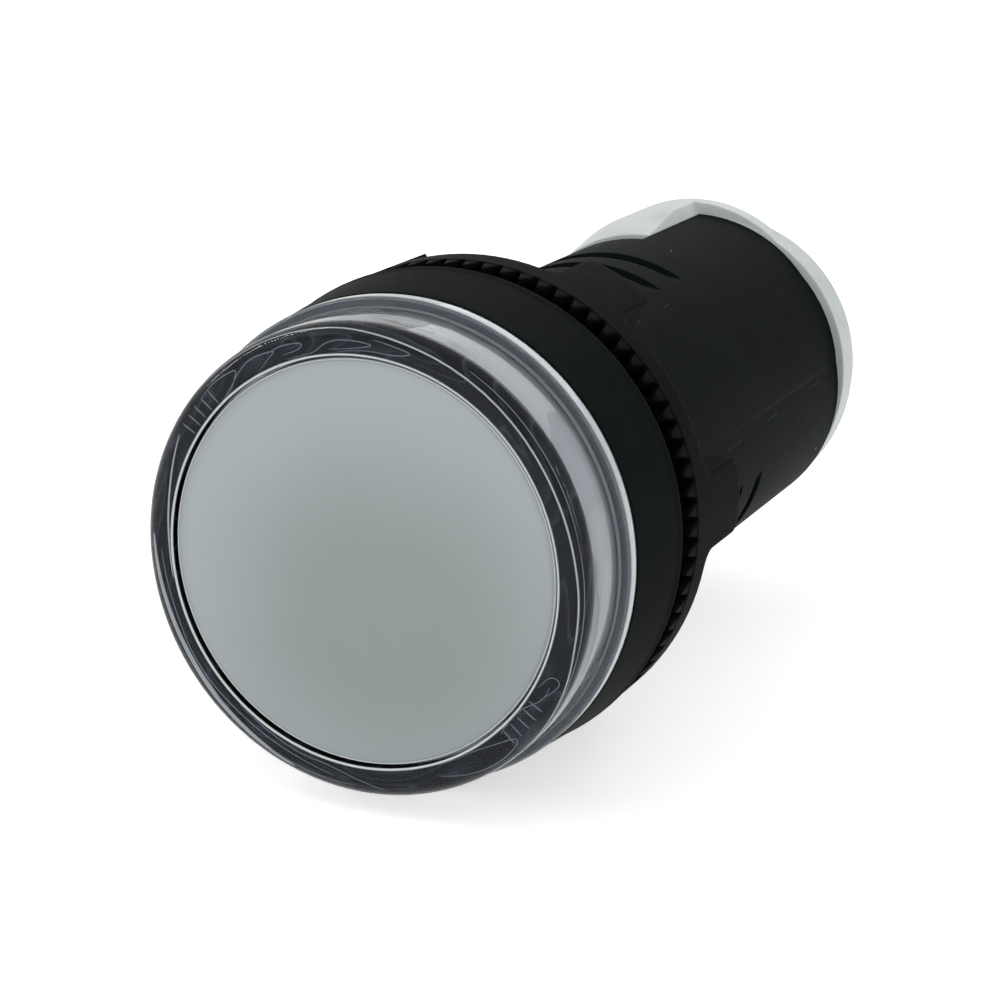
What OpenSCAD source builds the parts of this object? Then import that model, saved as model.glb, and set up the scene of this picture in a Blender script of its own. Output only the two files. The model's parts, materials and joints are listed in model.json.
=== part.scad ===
// Panel pilot light of the 22 mm class: a clear lens over a milky diffuser, a one-piece black bezel
// and barrel, a gasket, a toothed ring nut, a pale terminal base with two screw terminals, and a
// pale rear guard that pulls off before the nut comes off.
// Millimetres. The axis lies along Y: the lens faces -Y, the terminals face +Y, and +Z is up.
// The origin is on the axis at the gasket's rear face, where the panel's front face seats.

/* [Bezel] */
// Radius of the bezel at its rear edge
bezel_r = 14.55; // [13.8:0.05:16]
// How much smaller the bezel's front edge is in radius
bezel_flare = 0.5; // [0.2:0.05:0.8]
// Length of the bezel along the axis
bezel_l = 6.2; // [5:0.1:9]
// Radius of the rolled rear edge of the bezel
bezel_roll_r = 0.35; // [0.2:0.05:0.6]
// Thickness of the web between the lens seat and the bezel's rear face
web_t = 1.7; // [1.2:0.1:2.5]

/* [Barrel] */
// Radius of the smooth barrel
barrel_r = 10.2; // [9.6:0.05:10.5]
// Radius of the bore inside the barrel
bore_r = 9.1; // [8.6:0.05:9.2]
// Distance from the panel seat to the barrel's rear rim
barrel_l = 43.8; // [40:0.2:60]
// Width of the notch in the rear rim that takes the rear guard's tongue
notch_w = 8.2; // [6:0.1:9]
// Depth of that notch in front of the rim
notch_l = 11.6; // [9:0.1:13]

/* [Thread] */
// Radius over the thread crests
crest_r = 11.0; // [10.8:0.05:11]
// Radius at the bottom of the thread grooves, at the middle of each threaded side
root_r = 9.85; // [9.7:0.05:10.2]
// Distance between thread turns
thread_pitch = 4.0; // [3:0.25:5]
// Width of a thread groove at its mouth
groove_w = 2.0; // [1.2:0.1:2.4]
// Width of a thread groove at its bottom
groove_floor_w = 1.1; // [0.6:0.1:1.2]
// Number of grooves on each threaded side
groove_count = 7; // [3:1:7]
// Distance from the panel seat to the last groove on the upper side
thread_end = 25.1; // [24:0.1:30]
// Direction of the upper threaded side, in degrees from +X towards +Z
thread_angle = 114; // [90:1:135]
// How far the crest's circle is set off the axis, which makes the crests fade at their ends
crest_shift = 1.1; // [0.9:0.05:1.3]
// How far the groove's circle is set off the axis, which makes the grooves fade at their ends
groove_shift = 2.5; // [1.5:0.1:4]

/* [Lens] */
// Radius of the clear lens at its front rim
lens_r = 13.15; // [12.9:0.05:13.3]
// Radius of the clear lens where it meets its flange
lens_root_r = 13.35; // [13.3:0.05:13.5]
// Height of the lens in front of the bezel
lens_h = 5.5; // [4:0.1:12]
// Radius of the opening that the diffuser fills
lens_bore_r = 11.7; // [11.6:0.05:11.9]
// How much smaller the lens flange is in radius than the bezel's front edge
flange_step = 0.05; // [0:0.05:0.4]
// Thickness of the lens flange
flange_t = 1.0; // [0.6:0.1:1.5]
// Radius of the rounding round the front of the lens
lens_round = 0.55; // [0.2:0.05:0.6]
// Depth of the lens skirt inside the bezel
skirt_l = 3.4; // [2.5:0.1:3.6]
// Thickness of the lens skirt
skirt_t = 0.9; // [0.7:0.05:1]

/* [Diffuser] */
// Radius of the diffuser's front disc
diffuser_r = 11.55; // [11:0.05:11.6]
// Wall thickness of the diffuser
diffuser_t = 1.1; // [0.8:0.1:1.5]
// How far the diffuser's edge lies behind the lens rim
diffuser_set = 0.45; // [0.1:0.05:1]
// How far the diffuser's front bulges out at its centre
diffuser_dome = 0.5; // [0.2:0.1:1]

/* [Gasket] */
// How much smaller the gasket is in radius than the bezel's rear edge
gasket_step = 0.65; // [0.3:0.05:1.5]
// Thickness of the gasket
gasket_t = 0.8; // [0.5:0.1:1.5]

/* [Nut] */
// How much smaller the nut is in radius than the bezel's rear edge
nut_step = 0.05; // [0:0.05:0.5]
// Distance from the panel seat to the tips of the nut's teeth
nut_gap = 0.25; // [0.1:0.05:6]
// Height of the teeth on the nut's front face
tooth_h = 1.45; // [0.6:0.05:1.6]
// Number of teeth on the nut's front face
tooth_count = 78; // [60:1:84]
// Share of the ring's front face that the teeth's feet cover, at their inner ends
tooth_fill = 0.94; // [0.6:0.01:0.96]
// Width of the flat at a tooth's tip
tooth_tip_w = 0.12; // [0.05:0.01:0.3]
// Thickness of the nut's ring behind the teeth
ring_t = 1.95; // [1.5:0.05:3]
// Width of the face that carries the teeth
tooth_band = 2.4; // [1.5:0.1:3]
// Number of lugs on the nut's rear face
lug_count = 6; // [3:1:8]
// Length of a lug behind the ring
lug_l = 5.45; // [3:0.05:8]
// Width of a lug round the nut
lug_w = 4.5; // [3:0.1:6]
// Thickness of a lug along the radius
lug_t = 2.3; // [1.5:0.1:2.8]
// Depth of the recess inside the lugs, at the rear of the ring
nut_recess = 0.4; // [0.1:0.05:1]
// Direction of the first lug, in degrees from +X towards +Z
lug_angle = 1.5; // [0:0.5:60]

/* [Terminal base] */
// How far the base stands out behind the barrel's rim
base_out = 3.0; // [2:0.1:6]
// Length of the base's plug inside the barrel
plug_l = 10.0; // [9:0.1:12]
// Depth of the two terminal wells below the rear face
well_depth = 8.5; // [7.5:0.1:9]
// Width of a terminal well
well_w = 6.8; // [6.6:0.1:7]
// Height of a terminal well
well_h = 8.0; // [7.6:0.1:9]
// Distance between the centres of the two terminals
terminal_pitch = 8.6; // [8.4:0.1:9]
// Width of the wire slot below each well
slot_w = 4.6; // [4.2:0.1:5]

/* [Rear guard] */
// Radius of the guard's ring against the barrel's rim
guard_r = 10.7; // [10.5:0.05:10.8]
// Length of that ring
guard_l = 2.2; // [1.6:0.1:4]
// Radius of the round spigot behind the ring
spigot_r = 10.3; // [10:0.05:10.45]
// How far the spigot stands out behind the ring
spigot_l = 2.0; // [1.2:0.1:3]
// Radius over the guard's lobe, above the notch
lobe_r = 11.95; // [11.3:0.05:12.2]
// How far the lobe's circle is set off the axis
lobe_shift = 2.5; // [1.8:0.1:3]
// How much the tongue falls away in radius towards its front end
tongue_fall = 0.8; // [0.3:0.05:1]
// Space between the tongue's front end and the notch
tongue_gap = 1.4; // [0.2:0.1:2]
// Size of the guard's broken edges
guard_edge = 0.4; // [0.2:0.05:0.6]

/* [Terminals] */
// Thickness of a terminal plate
plate_t = 1.0; // [0.8:0.1:1.5]
// Side of the square clamp washer
washer_side = 6.0; // [5.6:0.1:6.2]
// Thickness of the clamp washer
washer_t = 0.8; // [0.6:0.1:1]
// Radius of a terminal screw's thread
screw_r = 1.5; // [1.25:0.05:1.75]
// Radius of a terminal screw's head
head_r = 2.75; // [2.5:0.05:2.9]
// Height of a terminal screw's head
head_h = 2.0; // [1.6:0.1:2.2]
// Length of a terminal screw below its head
shank_l = 5.0; // [4:0.1:5.5]
// Width of the slot across a screw head
driver_slot_w = 0.7; // [0.5:0.05:1]

/* [Electronics] */
// Radius of the lamp board
lamp_board_r = 10.2; // [9.6:0.1:10.3]
// Thickness of both boards
board_t = 1.6; // [1:0.1:1.6]
// Number of lamp chips round the lamp board
chip_count = 6; // [3:1:8]
// Radius of the ring of lamp chips
chip_ring_r = 6.2; // [5:0.1:7]
// Side of a lamp chip
chip_side = 3.0; // [2:0.1:3.5]
// Length of the driver board
driver_l = 30.0; // [27:0.5:31]
// Height of the driver board's upper face above the axis
driver_top = -1.5; // [-2:0.1:-1.4]

/* [Clearances] */
// Radial clearance of the nut on the thread crests
nut_clear = 0.05; // [0.03:0.01:0.1]
// Clearance of parts that are pushed together
fit_clear = 0.05; // [0.03:0.01:0.1]
// Clearance round parts that are laid in loosely
loose_clear = 0.2; // [0.1:0.05:0.3]

/* [Hidden] */
$fn = 96;
eps = 0.01;

// Radii that follow the bezel's
bezel_front_r = bezel_r - bezel_flare;
flange_r = bezel_front_r - flange_step;
gasket_r = bezel_r - gasket_step;
nut_r = bezel_r - nut_step;
nut_bore_r = crest_r + nut_clear;

// Stations along the axis
bezel_back = -gasket_t;
bezel_front = bezel_back - bezel_l;
web_front = bezel_back - web_t;
lens_front = bezel_front - lens_h;
ring_front = nut_gap + tooth_h;
ring_back = ring_front + ring_t;
base_back = barrel_l + base_out;
well_floor = base_back - well_depth;
plate_back = well_floor + plate_t;
head_seat = plate_back + washer_t;
plug_front = barrel_l - plug_l;
notch_front = barrel_l - notch_l;
guard_front = barrel_l + fit_clear;
guard_back = guard_front + guard_l;
spigot_back = guard_back + spigot_l;
lamp_board_front = web_front - board_t;
driver_front = bezel_back;
driver_back = driver_front + driver_l;

// Width of the driver board, which fills the bore from side to side
driver_w = 2 * (sqrt(pow(bore_r, 2) - pow(driver_top - board_t, 2)) - fit_clear);

// Parts on the driver board, as shares of the board and of the bore
cap_w = 0.53 * driver_w;
cap_l = 0.37 * driver_l;
cap_h = 0.71 * bore_r;
cap_x = -0.13 * driver_w;
cap_y0 = driver_front + 0.36 * driver_l;
smoothing_r = 0.27 * bore_r;
smoothing_l = 0.3 * driver_l;
smoothing_x = 0.306 * driver_w;
bridge_w = 0.38 * driver_w;
bridge_l = 0.16 * driver_l;
bridge_h = 0.27 * bore_r;
bridge_x = -0.21 * driver_w;
bridge_y0 = driver_front + 0.8 * driver_l;
resistor_r = 0.12 * bore_r;
resistor_l = 0.21 * driver_l;
resistor_x = 0.33 * driver_w;
resistor_y0 = driver_front + 0.1 * driver_l;
surge_r = 0.37 * bore_r;
surge_l = 0.07 * driver_l;
surge_x = 0.23 * driver_w;
surge_y0 = driver_front + 0.83 * driver_l;
chip_t = 0.27 * chip_side;
pin_r = 0.22 * board_t;
pin_x = 0.4 * chip_ring_r;
pin_z = driver_top + pin_r;
lead_r = 0.17 * plate_t + 0.33;
lead_z = -0.4 * well_h + 0.2;

// Places along X of the left and right terminals
left = -terminal_pitch / 2;
right = terminal_pitch / 2;

black = "#1b1d1b";
pale = "#ccd6d0";
brass = "#c9b06a";
steel = "#c4c6c8";

// Points of an arc about [cx, cy], from angle a0 to angle a1
function arc(cx, cy, r, a0, a1, n = 8) =
    [for (i = [0:n]) let (a = a0 + (a1 - a0) * i / n) [cx + r * cos(a), cy + r * sin(a)]];

// Lays a shape made about the Z axis on the part's axis, its z = 0 at station y
module on_axis(y = 0) {
    translate([0, y, 0]) rotate([-90, 0, 0]) children();
}

// Turns a profile of [radius, station] points about the part's axis
module turned(points) {
    on_axis() rotate_extrude() polygon(points);
}

// A plain rod along the axis direction, from station y0 to y1, at [x, z]
module rod(r, y0, y1, x = 0, z = 0) {
    translate([x, y0, z]) rotate([-90, 0, 0]) cylinder(r = r, h = y1 - y0);
}

// A block centred on x, from station y0 to y1 and from height z0 to z1
module block(w, y0, y1, z0, z1, x = 0) {
    translate([x - w / 2, y0, z0]) cube([w, y1 - y0, z1 - z0]);
}

// ---- Lens: a clear moulded ring with a flange on the bezel and a skirt inside it ----
module lens() {
    skirt_r = lens_bore_r + skirt_t;
    color("#dfe6ea", 0.5) turned(concat(
        [[lens_bore_r, bezel_front + skirt_l], [lens_bore_r, lens_front + lens_round / 2]],
        arc(lens_bore_r + lens_round / 2, lens_front + lens_round / 2, lens_round / 2, 180, 270, 4),
        arc(lens_r - lens_round, lens_front + lens_round, lens_round, 270, 360),
        [[lens_root_r, bezel_front - flange_t]],
        arc(flange_r - flange_t / 4, bezel_front - flange_t * 3 / 4, flange_t / 4, 270, 360, 4),
        [[flange_r, bezel_front], [skirt_r, bezel_front], [skirt_r, bezel_front + skirt_l]]));
}

// ---- Diffuser: a milky cup whose front disc fills the lens and whose edge stands on the web ----
module diffuser() {
    edge_y = lens_front + diffuser_set;
    dome_r = (diffuser_r * diffuser_r + diffuser_dome * diffuser_dome) / (2 * diffuser_dome);
    rim_a = asin(diffuser_r / dome_r);
    inner_r = diffuser_r - diffuser_t;
    color("#b9bdbf") turned(concat(
        arc(0, edge_y - diffuser_dome + dome_r, dome_r, 270, 270 + rim_a, 12),
        [[diffuser_r, web_front], [inner_r, web_front], [inner_r, edge_y + diffuser_t],
         [0, edge_y + diffuser_t]]));
}

// ---- Housing: bezel, web and barrel moulded in one, with thread on two opposite sides ----
module bezel_and_tube() {
    seat_r = lens_bore_r + skirt_t + fit_clear;
    turned(concat(
        [[seat_r, bezel_front]],
        arc(bezel_front_r - bezel_roll_r, bezel_front + bezel_roll_r, bezel_roll_r, 270, 360, 5),
        [[bezel_r - 0.1, bezel_back - 2.6 * bezel_roll_r]],
        arc(bezel_r - bezel_roll_r, bezel_back - bezel_roll_r, bezel_roll_r, 0, 90, 6),
        [[barrel_r, bezel_back], [barrel_r, barrel_l], [bore_r, barrel_l], [bore_r, web_front],
         [seat_r, web_front]]));
}

// Raised side of the barrel on which the thread stands: a round set off the axis, to the rim
module threaded_side(angle) {
    rotate([0, -angle, 0]) difference() {
        rod(crest_r - crest_shift, bezel_back - eps, barrel_l - eps, x = crest_shift);
        rod(bore_r + eps, bezel_back - 2 * eps, barrel_l);
    }
}

// One thread groove: a ring about a set-off centre, tilted to the helix, that fades at its ends
module groove(angle, y) {
    floor_r = root_r + groove_shift;
    mouth_r = crest_r + groove_shift + 0.5;
    lean = atan(thread_pitch / (2 * PI * crest_r));
    rotate([0, -angle, 0]) translate([-groove_shift, y, 0]) rotate([lean, 0, 0]) rotate([-90, 0, 0])
        rotate_extrude()
            polygon([[floor_r, -groove_floor_w / 2], [mouth_r, -groove_w / 2 - 0.2],
                     [mouth_r, groove_w / 2 + 0.2], [floor_r, groove_floor_w / 2]]);
}

// Notches in the rear rim: two that let the wires out below, and one for the guard's tongue
module rim_notches() {
    for (x = [left, right])
        block(slot_w + 2 * fit_clear, plate_back - fit_clear, barrel_l + eps, -crest_r - 1,
              -bore_r + 3, x);
    rotate([0, 90 - thread_angle, 0])
        block(notch_w, notch_front, barrel_l + eps, bore_r - 2, crest_r + 1);
}

module housing() {
    color(black) difference() {
        union() {
            bezel_and_tube();
            threaded_side(thread_angle);
            threaded_side(thread_angle + 180);
        }
        for (k = [0:groove_count - 1]) {
            groove(thread_angle, thread_end - k * thread_pitch);
            groove(thread_angle + 180, thread_end + (0.5 - k) * thread_pitch);
        }
        rim_notches();
    }
}

// ---- Gasket: a flat rubber ring on the bezel's rear face ----
module gasket() {
    color("#141514") turned([[crest_r + fit_clear, bezel_back], [gasket_r, bezel_back],
                             [gasket_r, 0], [crest_r + fit_clear, 0]]);
}

// ---- Nut: a ring with V teeth that bite the panel, and lugs for a spanner or fingers ----
module nut_teeth() {
    half_w = tooth_fill * PI * (nut_r - tooth_band) / tooth_count;
    sunk = 0.2;
    for (i = [0:tooth_count - 1])
        rotate([0, -i * 360 / tooth_count, 0]) translate([nut_r - tooth_band, 0, 0])
            rotate([0, 90, 0]) linear_extrude(tooth_band - 0.03)
                polygon([[-half_w, ring_front + sunk], [-half_w, ring_front],
                         [-tooth_tip_w / 2, nut_gap], [tooth_tip_w / 2, nut_gap],
                         [half_w, ring_front], [half_w, ring_front + sunk]]);
}

// The space between two neighbouring lugs, centred on +X: levels of four corners, up from
// the filleted feet of the lugs past their rounded ends
module lug_gap() {
    corner = 0.9;
    foot = 1.0;
    turn = 180 / lug_count;
    half = lug_w / 2;
    inside = nut_r - lug_t - 1.5;
    outside = (nut_r + 1) / cos(turn);
    side = concat(
        arc(half + foot, foot, foot, 270, 180, 5),
        arc(half - corner, lug_l - corner, corner, 0, 72, 4),
        [[half - 2 * corner, lug_l + 0.11 * corner], [half - 2 * corner, lug_l + 1]]);
    levels = [for (p = side) [for (c = [[inside, -1], [outside, -1], [outside, 1], [inside, 1]])
        [c[0] * cos(turn) + p[0] * sin(turn), ring_back + p[1],
         c[1] * (c[0] * sin(turn) - p[0] * cos(turn))]]];
    last = 4 * (len(side) - 1);
    polyhedron(points = [for (l = levels) each l], faces = concat(
        [[3, 2, 1, 0], [for (i = [0:3]) last + i]],
        [for (k = [0:4:last - 4]) for (i = [0:3])
            let (j = (i + 1) % 4) [k + i, k + j, k + 4 + j, k + 4 + i]]));
}

module nut() {
    shelf = ring_back - nut_recess;
    color(black) union() {
        difference() {
            turned([[nut_bore_r, ring_front], [nut_r, ring_front], [nut_r, ring_back + lug_l],
                    [nut_r - lug_t, ring_back + lug_l], [nut_r - lug_t, shelf],
                    [nut_bore_r, shelf]]);
            for (i = [0:lug_count - 1])
                rotate([0, -lug_angle - (i + 0.5) * 360 / lug_count, 0]) lug_gap();
        }
        nut_teeth();
    }
}

// ---- Terminal base: a pale plug in the barrel, with two wells open to the rear and below ----
module terminal_base() {
    plug_r = bore_r - fit_clear;
    edge = 0.4;
    color(pale) difference() {
        turned([[0, plug_front], [plug_r - edge, plug_front], [plug_r, plug_front + edge],
                [plug_r, base_back - edge], [plug_r - edge, base_back], [0, base_back]]);
        for (x = [left, right]) {
            block(well_w, well_floor, base_back + eps, -well_h / 2, well_h / 2, x);
            block(slot_w, plate_back, base_back + eps, -bore_r - 1, 0, x);
            rod(screw_r + loose_clear, head_seat - shank_l - loose_clear, well_floor + eps, x);
            rod(lead_r + loose_clear, plug_front - eps, well_floor + eps, x, lead_z);
        }
    }
}

// ---- Rear guard: a pale ring behind the rim, open below, with a tongue in the barrel's notch ----
// The lobe over the notch: its front part is narrowed to the tongue that stands in the notch
module guard_lobe() {
    tongue_w = notch_w - 2 * fit_clear;
    side_w = lobe_r;
    round_r = lobe_r - lobe_shift;
    front = notch_front + tongue_gap;
    full = front + 0.6 * (barrel_l - front);
    back = guard_back - guard_edge / 2;
    difference() {
        translate([lobe_shift, 0, 0])
            turned([[0, front], [round_r - tongue_fall, front], [round_r, full],
                    [round_r, back - guard_edge], [round_r - guard_edge, back], [0, back]]);
        for (side = [-1, 1])
            translate([-lobe_r, front - 1, side * (tongue_w + side_w) / 2 - side_w / 2])
                cube([2 * lobe_r + 1, guard_front + 0.1 - front + 1, side_w]);
    }
}

module rear_guard() {
    inner_r = bore_r + fit_clear;
    color(pale) difference() {
        union() {
            turned([[bore_r - 1, guard_front], [guard_r, guard_front], [guard_r, guard_back],
                    [spigot_r, guard_back], [spigot_r, spigot_back - guard_edge],
                    [spigot_r - guard_edge, spigot_back], [bore_r - 1, spigot_back]]);
            rotate([0, -thread_angle, 0]) guard_lobe();
        }
        rod(inner_r, notch_front, spigot_back + 1);
        block(right - left + slot_w, guard_front - 1, spigot_back + 1, -lobe_r - 1, 0);
    }
}

// ---- Terminals: plate, square clamp washer and slotted screw, one set on each side ----
module terminal_plate(x) {
    color(brass) difference() {
        block(well_w - 2 * loose_clear, well_floor, plate_back, -well_h / 2 + loose_clear,
              well_h / 2 - loose_clear, x);
        rod(screw_r + fit_clear, well_floor - eps, plate_back + eps, x);
    }
}

module clamp_washer(x) {
    color(steel) difference() {
        block(washer_side, plate_back, head_seat, -washer_side / 2, washer_side / 2, x);
        rod(screw_r + fit_clear, plate_back - eps, head_seat + eps, x);
    }
}

module terminal_screw(x) {
    head_back = head_seat + head_h;
    color(steel) difference() {
        translate([x, 0, 0]) turned(concat(
            [[0, head_seat - shank_l], [screw_r - 0.3, head_seat - shank_l],
             [screw_r, head_seat - shank_l + 0.3], [screw_r, head_seat], [head_r, head_seat]],
            arc(head_r - 0.6, head_back - 0.6, 0.6, 0, 90, 5),
            [[0, head_back]]));
        block(driver_slot_w, head_back - head_h / 2, head_back + eps, -head_r - 1, head_r + 1, x);
    }
}

// ---- Electronics: a lamp board on the web, and a driver board along the bore ----
module lamp_board() {
    color("#e8ebe6") difference() {
        rod(lamp_board_r, lamp_board_front, web_front);
        for (x = [-pin_x, pin_x])
            rod(pin_r + fit_clear, lamp_board_front - eps, web_front + eps, x, pin_z);
    }
}

module lamp_chips() {
    color("#e9dc9a") for (i = [0:chip_count - 1])
        rotate([0, -i * 360 / chip_count, 0]) translate([chip_ring_r, 0, 0])
            block(chip_side, lamp_board_front - chip_t, lamp_board_front, -chip_side / 2,
                  chip_side / 2);
}

module driver_board() {
    color("#2d5d3c") block(driver_w, driver_front, driver_back, driver_top - board_t, driver_top);
}

module film_capacitor() {
    color("#b03a2e") block(cap_w, cap_y0, cap_y0 + cap_l, driver_top, driver_top + cap_h, cap_x);
}

module smoothing_capacitor() {
    color("#23262c") rod(smoothing_r, cap_y0, cap_y0 + smoothing_l, smoothing_x,
                         driver_top + smoothing_r);
}

module bridge_rectifier() {
    color("#17181a") block(bridge_w, bridge_y0, bridge_y0 + bridge_l, driver_top,
                           driver_top + bridge_h, bridge_x);
}

module resistors() {
    color("#c9b58c") for (x = [-resistor_x, resistor_x])
        rod(resistor_r, resistor_y0, resistor_y0 + resistor_l, x, driver_top + resistor_r);
}

module surge_absorber() {
    color("#3d6aa0") rod(surge_r, surge_y0, surge_y0 + surge_l, surge_x, driver_top + surge_r);
}

module board_pins() {
    color(brass) for (x = [-pin_x, pin_x])
        rod(pin_r, lamp_board_front - pin_r, resistor_y0, x, pin_z);
}

module terminal_lead(x) {
    color(steel) rod(lead_r, driver_back, well_floor, x, lead_z);
}

lens();
diffuser();
housing();
gasket();
nut();
terminal_base();
rear_guard();
terminal_plate(left);  // plate_left
terminal_plate(right);  // plate_right
clamp_washer(left);  // clamp_washer_left
clamp_washer(right);  // clamp_washer_right
terminal_screw(left);  // screw_left
terminal_screw(right);  // screw_right
lamp_board();
lamp_chips();
driver_board();
film_capacitor();
smoothing_capacitor();
bridge_rectifier();
resistors();
surge_absorber();
board_pins();
terminal_lead(left);  // lead_left
terminal_lead(right);  // lead_right
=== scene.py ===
"""Panel pilot light for a 22 mm hole: finishes, small surface marks, floor, lamps and camera."""
import json
import math

import bmesh
import bpy
from mathutils import Matrix, Vector


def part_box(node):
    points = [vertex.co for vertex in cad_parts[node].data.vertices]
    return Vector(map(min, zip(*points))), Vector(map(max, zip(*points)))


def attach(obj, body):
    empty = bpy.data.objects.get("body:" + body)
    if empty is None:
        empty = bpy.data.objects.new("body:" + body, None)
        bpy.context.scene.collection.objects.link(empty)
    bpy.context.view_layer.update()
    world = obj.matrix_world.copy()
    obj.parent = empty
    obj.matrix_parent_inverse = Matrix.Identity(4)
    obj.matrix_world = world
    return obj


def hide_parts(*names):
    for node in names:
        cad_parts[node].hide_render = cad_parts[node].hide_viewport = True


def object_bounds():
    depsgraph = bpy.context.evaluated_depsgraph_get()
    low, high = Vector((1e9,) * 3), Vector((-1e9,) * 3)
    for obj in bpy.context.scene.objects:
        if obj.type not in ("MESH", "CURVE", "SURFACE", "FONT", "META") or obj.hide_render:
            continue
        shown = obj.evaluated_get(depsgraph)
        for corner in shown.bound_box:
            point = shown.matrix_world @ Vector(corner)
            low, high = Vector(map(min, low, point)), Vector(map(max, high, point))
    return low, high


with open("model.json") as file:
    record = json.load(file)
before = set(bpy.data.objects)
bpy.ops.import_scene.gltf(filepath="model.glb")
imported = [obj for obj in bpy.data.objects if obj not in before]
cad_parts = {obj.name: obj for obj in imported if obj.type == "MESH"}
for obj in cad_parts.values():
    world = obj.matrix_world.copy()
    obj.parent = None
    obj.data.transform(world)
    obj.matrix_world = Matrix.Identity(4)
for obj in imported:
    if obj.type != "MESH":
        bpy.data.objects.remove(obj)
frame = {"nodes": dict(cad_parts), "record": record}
CAD_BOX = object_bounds()
MM = 0.001
BEVEL_SAMPLES = 6


# ---- Colour and node helpers ----

def colour(code):
    """A linear RGBA colour from an sRGB hex code such as "#1c1e1d"."""
    channels = [int(code[i:i + 2], 16) / 255 for i in (1, 3, 5)]
    linear = [c / 12.92 if c <= 0.04045 else ((c + 0.055) / 1.055) ** 2.4 for c in channels]
    return (*linear, 1.0)


def add(tree, kind, settings=None, values=None, links=None):
    """Adds a node of a kind: settings are its properties, values fill sockets, links feed them."""
    made = tree.nodes.new("ShaderNode" + kind)
    for name, value in (settings or {}).items():
        setattr(made, name, value)
    for socket, value in (values or {}).items():
        made.inputs[socket].default_value = value
    for socket, source in (links or {}).items():
        tree.links.new(source, made.inputs[socket])
    return made


def new_material(name):
    """A material with only its shader and its output, joined up."""
    material = bpy.data.materials.new(name)
    material.use_nodes = True
    tree = material.node_tree
    tree.nodes.clear()
    shader = add(tree, "BsdfPrincipled")
    add(tree, "OutputMaterial", links={"Surface": shader.outputs["BSDF"]})
    return material, tree, shader


def fill(shader, **values):
    """Sets a shader's own sockets; a name's underscores stand for spaces."""
    for name, value in values.items():
        shader.inputs[name.replace("_", " ")].default_value = value


def grain_mm(size):
    """Noise scale at which one grain of the pattern is this many millimetres."""
    return 1 / (size * MM)


def ramp_stops(ramp, stops):
    """Replaces a colour ramp's stops by (position, hex colour) pairs."""
    elements = ramp.color_ramp.elements
    while len(elements) > 1:
        elements.remove(elements[-1])
    elements[0].position, elements[0].color = stops[0][0], colour(stops[0][1])
    for position, code in stops[1:]:
        elements.new(position).color = colour(code)


def direct_rays(tree):
    """One for rays from the camera, in gloss and through the clear lens, and zero for light."""
    rays = add(tree, "LightPath")
    sharp = add(tree, "Math", {"operation": "MAXIMUM"}, None,
                {0: rays.outputs["Is Glossy Ray"], 1: rays.outputs["Is Transmission Ray"]})
    seen = add(tree, "Math", {"operation": "MAXIMUM"}, None,
               {0: rays.outputs["Is Camera Ray"], 1: sharp.outputs[0]})
    return seen.outputs[0]


def distance_from_axis(tree, place):
    """Distance of a place from the part's axis."""
    flat = add(tree, "VectorMath", {"operation": "MULTIPLY"}, {1: (1.0, 0.0, 1.0)}, {0: place})
    reach = add(tree, "VectorMath", {"operation": "LENGTH"}, None, {0: flat.outputs[0]})
    return reach.outputs["Value"]


# ---- Materials ----

def scratched(tree, place, skin, amount):
    """The skin with fine handling lines: long thin cells, kept in patches and on the barrel."""
    line_width = 0.0016
    patch_level = 0.58
    barrel_start = 8.0 * MM
    turned = add(tree, "Mapping", values={"Rotation": (0.5, 0.9, 0.35), "Scale": (6.0, 0.5, 6.0)},
                 links={"Vector": place})
    lines = add(tree, "TexVoronoi", {"feature": "DISTANCE_TO_EDGE"},
                {"Scale": grain_mm(40.0), "Randomness": 1.0}, {"Vector": turned.outputs["Vector"]})
    thin = add(tree, "Math", {"operation": "LESS_THAN"}, {1: line_width},
               {0: lines.outputs["Distance"]})
    patch = add(tree, "TexNoise", values={"Scale": grain_mm(9.0), "Detail": 2.0},
                links={"Vector": place})
    where = add(tree, "Math", {"operation": "GREATER_THAN"}, {1: patch_level},
                {0: patch.outputs["Fac"]})
    along = add(tree, "SeparateXYZ", links={"Vector": place})
    barrel = add(tree, "Math", {"operation": "GREATER_THAN"}, {1: barrel_start},
                 {0: along.outputs["Y"]})
    here = add(tree, "Math", {"operation": "MULTIPLY"}, None,
               {0: where.outputs[0], 1: barrel.outputs[0]})
    both = add(tree, "Math", {"operation": "MULTIPLY"}, None,
               {0: thin.outputs[0], 1: here.outputs[0]})
    share = add(tree, "Math", {"operation": "MULTIPLY"}, {1: amount}, {0: both.outputs[0]})
    marked = add(tree, "Mix", {"data_type": "RGBA"}, {"B": colour("#7d8684")},
                 {"Factor": share.outputs[0], "A": skin})
    return marked.outputs["Result"]


def dusted(tree, place, skin, amount):
    """The skin with rare pale specks of dust about a fifth of a millimetre wide."""
    speck_reach = 0.045
    bare_share = 0.94
    cells = add(tree, "TexVoronoi", {"feature": "F1"}, {"Scale": grain_mm(2.4)}, {"Vector": place})
    speck = add(tree, "Math", {"operation": "LESS_THAN"}, {1: speck_reach},
                {0: cells.outputs["Distance"]})
    chance = add(tree, "SeparateColor", links={"Color": cells.outputs["Color"]})
    few = add(tree, "Math", {"operation": "GREATER_THAN"}, {1: bare_share},
              {0: chance.outputs["Red"]})
    spots = add(tree, "Math", {"operation": "MULTIPLY"}, None,
                {0: speck.outputs[0], 1: few.outputs[0]})
    share = add(tree, "Math", {"operation": "MULTIPLY"}, {1: amount}, {0: spots.outputs[0]})
    marked = add(tree, "Mix", {"data_type": "RGBA"}, {"B": colour("#b9beba")},
                 {"Factor": share.outputs[0], "A": skin})
    return marked.outputs["Result"]


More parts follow.
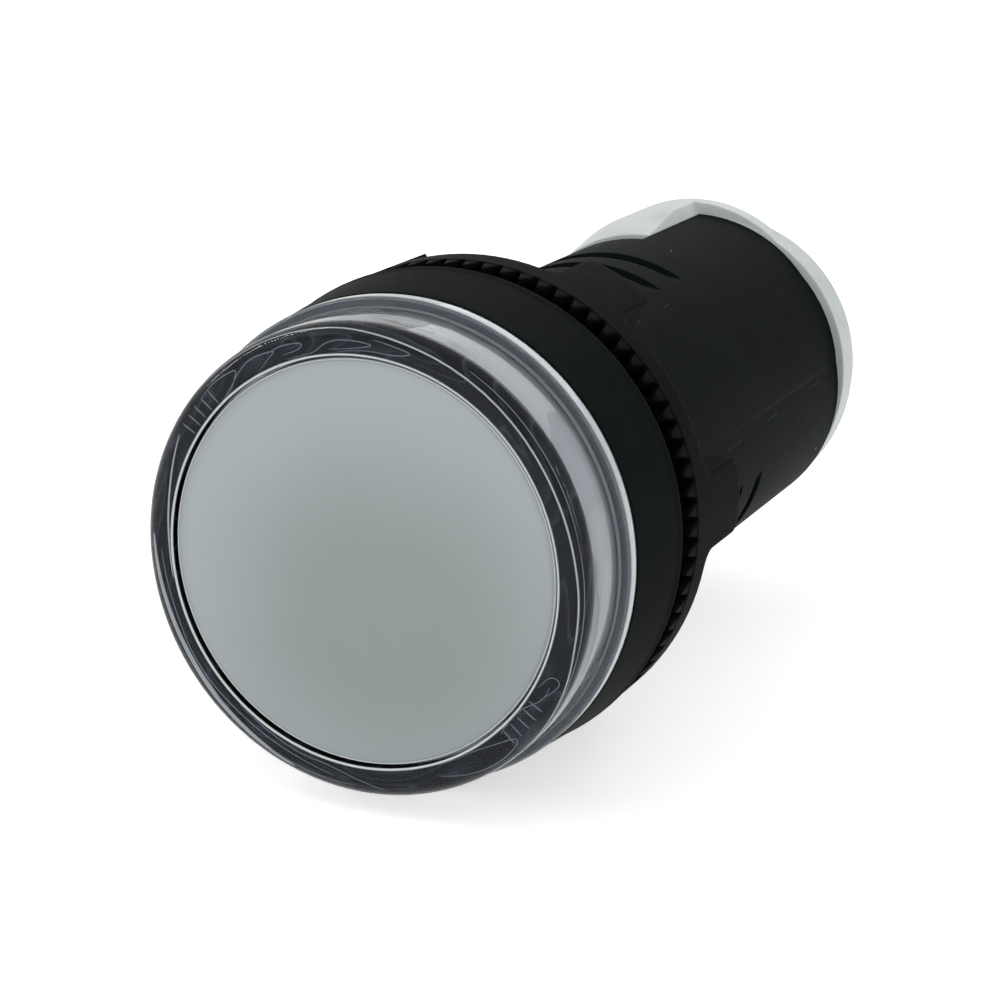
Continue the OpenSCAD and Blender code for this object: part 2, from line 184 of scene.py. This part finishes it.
def moulded_plastic(name, base, worn, roughness, grain, grain_depth, specular=0.5,
                    scratches=0.0, dust=0.0, edge=0.12):
    """Moulded plastic: fine spark-eroded grain, faint mottling, rubbed edges, scratches, dust."""
    material, tree, shader = new_material(name)
    place = add(tree, "TexCoord").outputs["Object"]
    mottle = add(tree, "TexNoise", values={"Scale": grain_mm(4.0), "Detail": 4.0, "Roughness": 0.6},
                 links={"Vector": place})
    shade = add(tree, "ValToRGB", links={"Fac": mottle.outputs["Fac"]})
    ramp_stops(shade, [(0.3, base), (0.75, worn)])
    skin = shade.outputs["Color"]
    if scratches:
        skin = scratched(tree, place, skin, scratches)
    if dust:
        skin = dusted(tree, place, skin, dust)
    tree.links.new(skin, shader.inputs["Base Color"])
    fine = add(tree, "TexNoise", values={"Scale": grain_mm(grain), "Detail": 3.0, "Roughness": 0.7},
               links={"Vector": place})
    gloss = add(tree, "MapRange", values={"To Min": roughness - 0.07, "To Max": roughness + 0.09},
                links={"Value": fine.outputs["Fac"]})
    tree.links.new(gloss.outputs["Result"], shader.inputs["Roughness"])
    # The rolled edges come from the bevel, the moulding grain from the bump over it
    rounded = add(tree, "Bevel", {"samples": BEVEL_SAMPLES}, {"Radius": edge * MM})
    bump = add(tree, "Bump", values={"Strength": 1.0, "Distance": grain_depth * MM},
               links={"Height": fine.outputs["Fac"], "Normal": rounded.outputs["Normal"]})
    tree.links.new(bump.outputs["Normal"], shader.inputs["Normal"])
    fill(shader, IOR=1.5, Specular_IOR_Level=specular)
    return material


def clear_plastic():
    """Clear polycarbonate, polished tool: light runs inside it; the black of its depths is painted
    shade on a separate sheet inside it.
    """
    material, tree, shader = new_material("clear_polycarbonate_polished")
    place = add(tree, "TexCoord").outputs["Object"]
    # Flow marks of the moulding bend what is seen through the ring into leaf-shaped swirls
    flow = add(tree, "TexNoise", values={"Scale": grain_mm(7.0), "Detail": 1.0, "Roughness": 0.4,
                                         "Distortion": 1.2}, links={"Vector": place})
    bump = add(tree, "Bump", values={"Strength": 0.6, "Distance": 0.12 * MM},
               links={"Height": flow.outputs["Fac"]})
    tree.links.new(bump.outputs["Normal"], shader.inputs["Normal"])
    fill(shader, Base_Color=colour("#f3f6fa"), Roughness=0.015, IOR=1.58, Transmission_Weight=1.0,
         Specular_Tint=colour("#a0a4ae"))
    return material


def milky_plastic(name, deep, pale, middle=(0.0, 0.0), grey_middle_r=4.0, pale_rim_r=12.0):
    """Milky polycarbonate with a fine matt front; its colour runs from a greyer middle to a paler
    rim, painted shade and painted light.
    """
    material, tree, shader = new_material(name)
    place = add(tree, "TexCoord").outputs["Object"]
    # The grey middle may lie a little off the axis, at x and z millimetres
    centred = add(tree, "VectorMath", {"operation": "SUBTRACT"},
                  {1: (middle[0] * MM, 0.0, middle[1] * MM)}, {0: place})
    reach = distance_from_axis(tree, centred.outputs[0])
    cloud = add(tree, "TexNoise", values={"Scale": grain_mm(9.0), "Detail": 2.0},
                links={"Vector": place})
    drift = add(tree, "MapRange", values={"To Min": -1.2 * MM, "To Max": 1.2 * MM},
                links={"Value": cloud.outputs["Fac"]})
    moved = add(tree, "Math", {"operation": "ADD"}, None, {0: reach, 1: drift.outputs["Result"]})
    # Painted shade in the middle, giving way to painted light towards the rim
    share = add(tree, "MapRange", {"interpolation_type": "SMOOTHSTEP"},
                {"From Min": grey_middle_r * MM, "From Max": pale_rim_r * MM}, {"Value": moved.outputs[0]})
    tint = add(tree, "Mix", {"data_type": "RGBA"}, {"A": colour(deep), "B": colour(pale)},
               {"Factor": share.outputs["Result"]})
    tree.links.new(tint.outputs["Result"], shader.inputs["Base Color"])
    fine = add(tree, "TexNoise", values={"Scale": grain_mm(0.25), "Detail": 2.0},
               links={"Vector": place})
    bump = add(tree, "Bump", values={"Strength": 0.5, "Distance": 0.01 * MM},
               links={"Height": fine.outputs["Fac"]})
    tree.links.new(bump.outputs["Normal"], shader.inputs["Normal"])
    fill(shader, Roughness=0.5, IOR=1.5, Specular_IOR_Level=0.3, Subsurface_Weight=0.2,
         Subsurface_Radius=(1.0, 1.0, 1.0), Subsurface_Scale=0.5 * MM)
    return material


def painted_ring_inside():
    """Painted shade and refractions inside the polished ring: black, with grey leaf-shaped
    refractions.
    """
    outward_pace = 4.0
    leaf_bands = 4.2
    material, tree, shader = new_material("clear_polycarbonate_painted_inside")
    place = add(tree, "TexCoord").outputs["Object"]
    reach = distance_from_axis(tree, place)
    # The leaves lie along the ring: the pattern runs faster outward than round it
    outward = add(tree, "Math", {"operation": "MULTIPLY"}, {1: outward_pace}, {0: reach})
    split = add(tree, "SeparateXYZ", links={"Vector": place})
    polar = add(tree, "CombineXYZ", links={"X": split.outputs["X"], "Y": outward.outputs[0],
                                           "Z": split.outputs["Z"]})
    flow = add(tree, "TexNoise", values={"Scale": grain_mm(6.5), "Detail": 0.6, "Distortion": 0.9},
               links={"Vector": polar.outputs["Vector"]})
    bands = add(tree, "Math", {"operation": "MULTIPLY"}, {1: leaf_bands}, {0: flow.outputs["Fac"]})
    fold = add(tree, "Math", {"operation": "FRACT"}, None, {0: bands.outputs[0]})
    # Painted shade in black, with painted refractions as thin grey leaf outlines
    shade = add(tree, "ValToRGB", links={"Fac": fold.outputs[0]})
    ramp_stops(shade, [(0.0, "#050608"), (0.5, "#06070a"), (0.58, "#3a3f47"), (0.64, "#262a31"),
                       (0.85, "#101217"), (1.0, "#050608")])
    tree.links.new(shade.outputs["Color"], shader.inputs["Base Color"])
    fill(shader, Roughness=0.6, IOR=1.5, Specular_IOR_Level=0.0)
    return material


def plated_metal(name, base, dull, roughness, grain):
    """Plated or tinned metal: soft sheen with faint clouding from the bath."""
    edge_roll = 0.12
    material, tree, shader = new_material(name)
    place = add(tree, "TexCoord").outputs["Object"]
    cloud = add(tree, "TexNoise",
                values={"Scale": grain_mm(grain), "Detail": 5.0, "Roughness": 0.6},
                links={"Vector": place})
    tint = add(tree, "ValToRGB", links={"Fac": cloud.outputs["Fac"]})
    ramp_stops(tint, [(0.35, base), (0.7, dull)])
    tree.links.new(tint.outputs["Color"], shader.inputs["Base Color"])
    gloss = add(tree, "MapRange", values={"To Min": roughness - 0.08, "To Max": roughness + 0.12},
                links={"Value": cloud.outputs["Fac"]})
    tree.links.new(gloss.outputs["Result"], shader.inputs["Roughness"])
    rounded = add(tree, "Bevel", {"samples": BEVEL_SAMPLES}, {"Radius": edge_roll * MM})
    tree.links.new(rounded.outputs["Normal"], shader.inputs["Normal"])
    fill(shader, Metallic=1.0)
    return material


FINISHES = {
    # Polished clear polycarbonate: white edges, partly its own reflections and partly painted
    # highlights, and dark depths of painted shade
    "clear_lens": clear_plastic(),
    # The disc is grey at its middle and paler at its rim: painted shade and painted light;
    # the grey middle lies a little right of and below the axis, so the painted shade is heavier
    # towards the bottom
    "milky_diffuser": milky_plastic("milky_polycarbonate_matt", "#a3acac", "#bcc4c5",
                                    middle=(1.6, -3.0), grey_middle_r=3.5, pale_rim_r=14.0),
    # Satin black ABS of the bezel and barrel: near black, a breath of green where light grazes
    "black_housing": moulded_plastic("black_abs_moulded", "#0c1110", "#111715", 0.5, 0.35, 0.012,
                                     specular=0.008, scratches=0.3, dust=0.6, edge=0.22),
    # Gasket rubber: dull and a little greyer at its rim
    "black_rubber": moulded_plastic("black_nitrile_rubber", "#0a0b0b", "#101111", 0.75, 0.3, 0.02,
                                    specular=0.04, edge=0.1),
    # Nut of the same black plastic, with its edges more rubbed from handling
    "black_nut": moulded_plastic("black_abs_nut_moulded", "#080b09", "#0d100e", 0.5, 0.4, 0.012,
                                 specular=0.008, dust=0.5, edge=0.5),
    # Pale grey-green nylon of the terminal base: soft satin with sink-mark mottling
    "pale_base": moulded_plastic("pale_nylon_moulded", "#c9d1cd", "#d6ddd9", 0.48, 0.5, 0.01,
                                 specular=0.4, edge=0.15),
    # The guard is the same nylon in a thinner wall, so it is a shade greener and deeper
    "pale_guard": moulded_plastic("pale_nylon_thin_moulded", "#c6d0ca", "#dde3df", 0.42, 0.5, 0.01,
                                  specular=0.4, edge=0.2),
    # The diffuser's foot and edges stand in the clear cap's light, so they look nearly white
    "lit_milk": milky_plastic("milky_polycarbonate_lit", "#dde3e4", "#e6ebec"),
    # Its side is shaded by the cap's wall, so it is greyer than its foot
    "side_milk": milky_plastic("milky_polycarbonate_side", "#c3cacc", "#cdd3d5"),
    # Under the flange's front face no light comes back
    "flange_dark": milky_plastic("clear_polycarbonate_shade", "#474d53", "#565c63"),
    # Painted refractions and glints inside the clear ring, in a little cold light
    "lilac_streak": milky_plastic("clear_polycarbonate_streak", "#6f7686", "#8a91a2"),
    # Painted shade of the clear ring's inside: black, with grey painted refractions in leaf shapes
    "ring_depths": painted_ring_inside(),
    # Stamped brass of the terminal plates: warm and softly clouded
    "brass_plate": plated_metal("brass_stamped", "#c9a45c", "#a98445", 0.3, 1.2),
    # Zinc plating of screws and clamps: cool grey sheen
    "zinc_steel": plated_metal("zinc_plated_steel", "#c3c6c8", "#a7abae", 0.34, 0.9),
    # White solder mask of the lamp board: even and slightly glossy
    "white_board": moulded_plastic("white_solder_mask", "#dde0dc", "#e6e8e4", 0.35, 0.4, 0.004),
    # Yellow phosphor in clear resin on the chips
    "lamp_chip": moulded_plastic("phosphor_resin", "#d8bd5c", "#e2ca70", 0.3, 0.3, 0.004),
    # Green solder mask of the driver board
    "green_board": moulded_plastic("green_solder_mask", "#1c5a34", "#23693d", 0.3, 0.4, 0.004),
    # Dipped red epoxy of the film capacitor: thick, glossy, a little uneven
    "red_epoxy": moulded_plastic("red_dipped_epoxy", "#8c2a1c", "#9a3324", 0.28, 1.0, 0.02),
    # Shrunk sleeve of the electrolytic capacitor: dark and glossy
    "dark_sleeve": moulded_plastic("dark_shrink_sleeve", "#22262c", "#2b3038", 0.3, 0.8, 0.01),
    # Black moulding epoxy of the rectifier: dull and fine-grained
    "black_epoxy": moulded_plastic("black_moulding_epoxy", "#191a1c", "#222325", 0.5, 0.2, 0.01),
    # Beige lacquer of the resistors
    "resistor_lacquer": moulded_plastic("beige_resistor_lacquer", "#b99a62", "#c6a871", 0.3, 0.8,
                                        0.01),
    # Dipped blue epoxy of the surge absorber
    "blue_epoxy": moulded_plastic("blue_dipped_epoxy", "#2a4a86", "#325593", 0.28, 1.0, 0.02),
    # Tinned copper of leads and pins: pale and softly dulled
    "tinned_wire": plated_metal("tinned_copper", "#c4c4c0", "#a9a9a4", 0.3, 0.6),
}

for entry in frame["record"]["materials"]:
    assert entry["slot"] in FINISHES, entry["slot"]
for part in frame["nodes"].values():
    for holder in part.material_slots:
        slot_name = holder.material.name.split(".")[0]
        holder.material = FINISHES[slot_name]


# ---- Lens, diffuser and the small pieces in them ----

# Steps round a turned piece, steps between two points of a stroke, and the angle in degrees
# above which an edge stays sharp
RING_STEPS = 240
STROKE_STEPS = 6
SHARP_ANGLE = 35


def finished(name, mesh, finish):
    """Turns a bmesh into an object of the lamp, with outward faces and one of the finishes."""
    bmesh.ops.recalc_face_normals(mesh, faces=mesh.faces)
    data = bpy.data.meshes.new(name)
    mesh.to_mesh(data)
    mesh.free()
    data.materials.append(FINISHES[finish])
    data.polygons.foreach_set("use_smooth", [True] * len(data.polygons))
    data.set_sharp_from_angle(angle=math.radians(SHARP_ANGLE))
    piece = bpy.data.objects.new(name, data)
    bpy.context.scene.collection.objects.link(piece)
    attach(piece, "lamp")
    return piece


def arc_points(r, y, radius, start, end, steps):
    """Points (radius, station) along an arc; angles in degrees from the radial direction."""
    turns = [math.radians(start + (end - start) * i / steps) for i in range(steps + 1)]
    return [(r + radius * math.cos(a), y + radius * math.sin(a)) for a in turns]


def turned_piece(name, profile, finish, closed=True):
    """A body turned about the part's axis from (radius, station) points in millimetres."""
    mesh = bmesh.new()
    turns = [2 * math.pi * i / RING_STEPS for i in range(RING_STEPS)]
    rings = []
    for radius, station in profile:
        if radius == 0:
            rings.append([mesh.verts.new((0, station * MM, 0))] * RING_STEPS)
            continue
        rings.append([mesh.verts.new((radius * math.cos(t) * MM, station * MM,
                                      radius * math.sin(t) * MM)) for t in turns])
    pairs = list(zip(rings, rings[1:])) + ([(rings[-1], rings[0])] if closed else [])
    for low, high in pairs:
        for i in range(RING_STEPS):
            j = (i + 1) % RING_STEPS
            corners = list(dict.fromkeys((low[i], low[j], high[j], high[i])))
            if len(corners) > 2:
                mesh.faces.new(corners)
    return finished(name, mesh, finish)


def smooth_path(path):
    """Points of a smooth curve through the path's own points."""
    ends = [path[0], *path, path[-1]]
    points = []
    for k in range(len(path) - 1):
        before, start, end, after = (Vector(v) for v in ends[k:k + 4])
        for step in range(STROKE_STEPS):
            t = step / STROKE_STEPS
            points.append(0.5 * (2 * start + (end - before) * t
                                 + (2 * before - 5 * start + 4 * end - after) * t * t
                                 + (3 * start - before - 3 * end + after) * t ** 3))
    points.append(Vector(path[-1]))
    return points


LENS_LOW, LENS_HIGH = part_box("lens")
lens_front = LENS_LOW.y / MM
skirt_end = LENS_HIGH.y / MM
flange_r = LENS_HIGH.x / MM
cup_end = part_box("diffuser")[1].y / MM

# The clear cap, in millimetres
bezel_front = lens_front + 5.5
flange_y = bezel_front - 1.0
flange_edge = 0.25
bore_r = 11.6
bore_edge = 0.16
bore_edge_y = lens_front + 0.19
bore_back_r = bore_r + 0.4
skirt_r = 12.6
rim_r = 13.38
rim_round = 0.88
land_r = rim_r - rim_round
round_y = lens_front + rim_round
wall_y = lens_front + 2.2
wall_r = rim_r + 0.02
root_r = rim_r + 0.04

# The milky cup in it
cup_r = bore_r - 0.13
cup_back_r = bore_back_r - 0.14
cup_inner_r = cup_r - 1.1
dome_edge = lens_front + 0.3
dome_back = dome_edge + 1.2
cup_edge = 0.3
cup_edge_y = dome_edge + 0.27
dome_rise = [(0, 0.33), (2.5, 0.316), (5.0, 0.273), (7.5, 0.199), (9.2, 0.128), (10.4, 0.066)]

# The paler foot and side of the cup, and the shade under the flange
foot_r = flange_r - 0.06
foot_inner_r = bore_back_r + 0.04
foot_y = bezel_front - 0.05
shade_r = flange_r - 0.2
shade_inner_r = rim_r + 0.1
shade_y = bezel_front - 0.86
shade_rise = 0.04
skin = 0.05
half_skin = 0.02
sleeve_y = dome_edge + 0.5
sleeve_end = bezel_front + 2.0

# The black sheet of painted shade inside the cap
painted_shade_under = 0.3
painted_shade_inner_r = bore_r + 0.1
painted_shade_wall_y = lens_front + 1.15
painted_shade_bore_y = lens_front + 1.3


def under_surface(radius, depth):
    """Station at a depth below the cap's front, at a radius: flat on the land, then round."""
    past = radius - land_r
    inner = rim_round - depth
    if past <= 0:
        return lens_front + depth
    return round_y - math.sqrt(max(inner * inner - past * past, 0.0))


def ring_streaks(name, finish, half_width, depth, paths):
    """Fine tapered strokes inside the cap along smooth (angle, radius) paths round the ring."""
    tip_width = 0.004
    half_depth = 0.03
    taper = 0.4
    clear_of_rim = 0.02
    axis = Vector((0, 1, 0))
    mesh = bmesh.new()
    for path in paths:
        places = []
        for angle, radius in smooth_path(path):
            turn = math.radians(angle)
            reach = min(radius, rim_r - depth - clear_of_rim)
            places.append(Vector((reach * math.cos(turn), under_surface(reach, depth),
                                  reach * math.sin(turn))))
        last = len(places) - 1
        rows = []
        for i, place in enumerate(places):
            along = places[min(i + 1, last)] - places[max(i - 1, 0)]
            side = along.cross(axis).normalized()
            width = half_width * max(math.sin(math.pi * i / last), 0.0) ** taper + tip_width
            rows.append([mesh.verts.new((place + offset) * MM) for offset in (
                side * width, axis * half_depth, -side * width, -axis * half_depth)])
        for low, high in zip(rows, rows[1:]):
            for k in range(4):
                m = (k + 1) % 4
                mesh.faces.new((low[k], low[m], high[m], high[k]))
        mesh.faces.new(rows[0])
        mesh.faces.new(rows[-1])
    finished(name, mesh, finish)


# Clear cap: a flat land, a full round outside it, and a wall whose two sides draft alike
cap_piece = turned_piece("clear_cap", [
    *arc_points(bore_r + bore_edge, bore_edge_y, bore_edge, 180, 270, 5),
    *arc_points(land_r, round_y, rim_round, 270, 357, 14),
    (wall_r, wall_y), (root_r, flange_y),
    *arc_points(flange_r - flange_edge, flange_y + flange_edge, flange_edge, 270, 360, 5),
    (flange_r, bezel_front), (skirt_r, bezel_front), (skirt_r, skirt_end),
    (bore_back_r, skirt_end), (bore_back_r, bezel_front),
], "clear_lens")
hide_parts("lens")

# Milky cup: a domed front with a rolled edge, a side that drafts with the cap, an open back
cup_piece = turned_piece("milky_cup", [
    *[(radius, dome_edge - rise) for radius, rise in dome_rise],
    *arc_points(cup_r - cup_edge, cup_edge_y, cup_edge, 275, 356, 8),
    (cup_back_r, bezel_front), (cup_back_r, cup_end), (cup_inner_r, cup_end),
    (cup_inner_r, dome_back), (0, dome_back),
], "milky_diffuser", closed=False)
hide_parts("diffuser")

# The cup's paler foot and side, which show through the clear flange and wall
turned_piece("cup_foot", [
    (foot_inner_r, foot_y), (foot_inner_r, foot_y - 0.2), (shade_r, foot_y - 0.25),
    (foot_r - 0.06, foot_y - 0.61), (foot_r, foot_y - 0.57), (foot_r, foot_y),
], "lit_milk")
turned_piece("flange_shade", [
    (shade_inner_r, shade_y), (shade_r, shade_y + shade_rise),
    (shade_r, shade_y + shade_rise + skin), (shade_inner_r, shade_y + skin),
], "flange_dark")
turned_piece("cup_sleeve", [
    (cup_r + half_skin, sleeve_y), (cup_back_r + half_skin, bezel_front),
    (cup_back_r + half_skin, sleeve_end), (cup_back_r - half_skin, sleeve_end),
    (cup_back_r - half_skin, bezel_front), (cup_r - half_skin, sleeve_y),
], "side_milk")

# Painted shade: a black sheet with painted refractions, under the ring's land and its round, a
# little way down its wall and bore
turned_piece("cap_painted_shade", [
    (painted_shade_inner_r, painted_shade_bore_y), (painted_shade_inner_r, lens_front + painted_shade_under + 0.04),
    *arc_points(land_r, round_y, rim_round - painted_shade_under, 270, 352, 9),
    (rim_r - painted_shade_under, painted_shade_wall_y), (rim_r - painted_shade_under - skin, painted_shade_wall_y),
    *arc_points(land_r, round_y, rim_round - painted_shade_under - skin, 352, 270, 9),
    (painted_shade_inner_r + skin, lens_front + painted_shade_under + 0.1),
    (painted_shade_inner_r + skin, painted_shade_bore_y),
], "ring_depths")

# Bright line where the round turns the light, which wanders in and out along the ring
ring_streaks("cap_bright_line", "lit_milk", 0.05, 0.08, [
    [(140, 13.2), (122, 13.15), (106, 13.1), (95, 13.05), (85, 12.9), (73, 12.75), (45, 12.6),
     (28, 12.56), (10, 12.65), (-1, 12.78), (-14, 12.92), (-26, 13.15), (-45, 13.3), (-69, 13.3),
     (-98, 13.3), (-125, 13.2), (-140, 13.1)],
    [(150, 12.6), (158, 12.3), (166, 12.05), (174, 11.9), (181, 11.82), (190, 11.8)],
])
# Broad grey glow of the wall on the side away from the light, and the finer line beside it
ring_streaks("cap_wall_glow", "side_milk", 0.13, 0.12, [
    [(178, 12.8), (184, 12.72), (194, 12.62), (203, 12.56), (213, 12.55), (222, 12.6),
     (230, 12.65), (238, 12.72), (245, 12.81), (251, 12.9)],
])
ring_streaks("cap_wall_lines", "lilac_streak", 0.035, 0.12, [
    [(182, 12.35), (187, 12.28), (199, 12.2), (211, 12.3), (220, 12.28), (230, 12.2),
     (240, 12.2), (252, 12.3), (262, 12.5)],
])
# Leaf-shaped refractions, in two families across the ring from each other
ring_streaks("cap_leaves", "lilac_streak", 0.028, 0.14, [
    [(134.5, 11.75), (130, 11.9), (127.5, 12.2), (125.8, 12.55), (129, 12.7), (133.5, 12.78),
     (138.5, 12.7)],
    [(134, 11.75), (129, 12.04), (125, 12.38), (120.5, 12.62), (113.7, 12.5), (115, 12.3),
     (120, 11.8)],
    [(115.7, 12.48), (111, 12.6), (106, 12.5), (105.7, 12.3), (107.6, 12.15), (111.5, 12.12)],
    [(111, 11.83), (103, 11.88), (98.6, 12.3), (94, 12.45), (86, 12.3), (91, 12.02), (98, 11.95)],
    [(85.5, 12.6), (80.5, 12.5), (75.3, 12.37), (80, 12.0), (87.5, 11.95), (96, 11.8)],
    [(-28, 11.87), (-24, 12.18), (-23.2, 12.6), (-25, 12.8), (-30.5, 12.3)],
    [(-45.5, 11.9), (-41.8, 11.75), (-36, 11.8), (-30, 12.4), (-26, 12.45)],
    [(-67.5, 11.8), (-55, 11.85), (-44, 12.5), (-44.6, 12.88), (-52.4, 13.0), (-60, 12.8),
     (-68.5, 12.32)],
    [(-130, 11.8), (-119.5, 11.88), (-109, 12.0), (-98.7, 12.05), (-83, 12.9)],
    [(-145, 12.3), (-130, 12.6), (-115, 12.75), (-100, 12.8), (-92, 12.75)],
    [(12, 12.95), (-2, 13.02), (-16, 13.1), (-30, 13.2), (-44, 13.2)],
    [(60, 13.0), (48, 12.98), (36, 12.95), (24, 12.95), (12, 12.95)],
])
# Latch ribs inside the cap, in two groups across the ring, drawn as short pale strokes of painted
# glint
rib_groups = (141.5, 321.5)
rib_turn = 2.9
ring_streaks("cap_rib_glints", "lilac_streak", 0.045, 0.2, [
    [(group + rib_turn * step, radius) for radius in (11.85, 12.3, 12.75)]
    for group in rib_groups for step in (-2, -1, 0, 1, 2)
])

# The rolled edge of the milky cup catches the light all round
turned_piece("cup_edge", arc_points(cup_r - 0.09, dome_edge + 0.06, 0.055, 0, 315, 7),
             "lit_milk")
# Painted highlight: a fine pale bead on the inner edge of the land, where that edge catches the
# light
turned_piece("cap_inner_edge_highlight", arc_points(bore_r + 0.07, lens_front + 0.1, 0.07, 0, 315, 7),
             "lit_milk")


# ---- Floor, world, lamps, camera ----

def pale_world():
    """Pale surroundings: white where seen straight, in gloss or through the lens, grey as light."""
    world = bpy.data.worlds.new("studio")
    world.use_nodes = True
    tree = world.node_tree
    tree.nodes.clear()
    light = add(tree, "Background", values={"Color": colour("#ffffff"), "Strength": 0.5})
    white = add(tree, "Background", values={"Color": colour("#ffffff"), "Strength": 1.0})
    mixed = add(tree, "MixShader", links={0: direct_rays(tree), 1: light.outputs[0],
                                          2: white.outputs[0]})
    add(tree, "OutputWorld", links={"Surface": mixed.outputs[0]})
    bpy.context.scene.world = world


def pale_floor(height):
    """A wide pale floor under the part; it keeps the part's shadow and runs to white."""
    half = 6.0
    mesh = bpy.data.meshes.new("floor")
    mesh.from_pydata([(-half, -half, height), (half, -half, height), (half, half, height),
                      (-half, half, height)], [], [(0, 1, 2, 3)])
    floor = bpy.data.objects.new("floor", mesh)
    bpy.context.scene.collection.objects.link(floor)
    material, tree, shader = new_material("white_paper_sweep")
    place = add(tree, "TexCoord").outputs["Object"]
    fibre = add(tree, "TexNoise", values={"Scale": grain_mm(3.0), "Detail": 3.0},
                links={"Vector": place})
    bump = add(tree, "Bump", values={"Strength": 0.2, "Distance": 0.05 * MM},
               links={"Height": fibre.outputs["Fac"]})
    tree.links.new(bump.outputs["Normal"], shader.inputs["Normal"])
    fill(shader, Base_Color=colour("#f4f4f4"), Roughness=0.9, Specular_IOR_Level=0.1)
    glow = add(tree, "Emission", values={"Color": colour("#ffffff"), "Strength": 0.6})
    both = add(tree, "AddShader", links={0: shader.outputs[0], 1: glow.outputs[0]})
    mixed = add(tree, "MixShader", links={0: direct_rays(tree), 1: shader.outputs[0],
                                          2: both.outputs[0]})
    tree.links.new(mixed.outputs[0], tree.get_output_node("ALL").inputs["Surface"])
    mesh.materials.append(material)


def lamp(name, place, target, width, height, power):
    """A soft rectangular lamp facing a target: places in millimetres, power in watts."""
    light = bpy.data.lights.new(name, "AREA")
    light.shape = "RECTANGLE"
    light.size = width * MM
    light.size_y = height * MM
    light.energy = power
    holder = bpy.data.objects.new(name, light)
    bpy.context.scene.collection.objects.link(holder)
    holder.location = Vector(place) * MM
    facing = (Vector(target) - Vector(place)).normalized()
    holder.rotation_euler = facing.to_track_quat("-Z", "Y").to_euler()


def camera(place, look, up, focal_length):
    """The camera: where it stands in millimetres, the way it looks and the length of its lens."""
    data = bpy.data.cameras.new("camera")
    data.lens = focal_length
    data.sensor_width = 36.0
    data.clip_start = 0.01
    holder = bpy.data.objects.new("camera", data)
    bpy.context.scene.collection.objects.link(holder)
    back = -Vector(look).normalized()
    up = Vector(up).normalized()
    right = up.cross(back).normalized()
    up = back.cross(right)
    rows = [(*turn, stand * MM) for *turn, stand in zip(right, up, back, place)]
    holder.matrix_world = Matrix((*rows, (0, 0, 0, 1)))
    bpy.context.scene.camera = holder


floor_gap = 0.05 * MM
middle = (0, 10, 0)
pale_world()
pale_floor(CAD_BOX[0].z - floor_gap)
lamp("key", (-260, -380, 460), middle, 500, 500, 0.55)
lamp("fill", (520, -200, 200), middle, 500, 400, 0.3)
lamp("rear", (60, 460, 340), middle, 500, 300, 0.5)
# Narrow strips draw the thin bright lines round the lens and along the rims
lamp("strip_left", (-330, -120, 240), middle, 30, 320, 0.35)
lamp("strip_right", (400, -170, 60), middle, 25, 300, 0.25)
camera(place=(62.56, -138.37, 41.77), look=(-0.3818, 0.8864, -0.2617),
       up=(-0.1035, 0.2404, 0.9651), focal_length=97.2)
bpy.context.scene.view_settings.view_transform = "Standard"
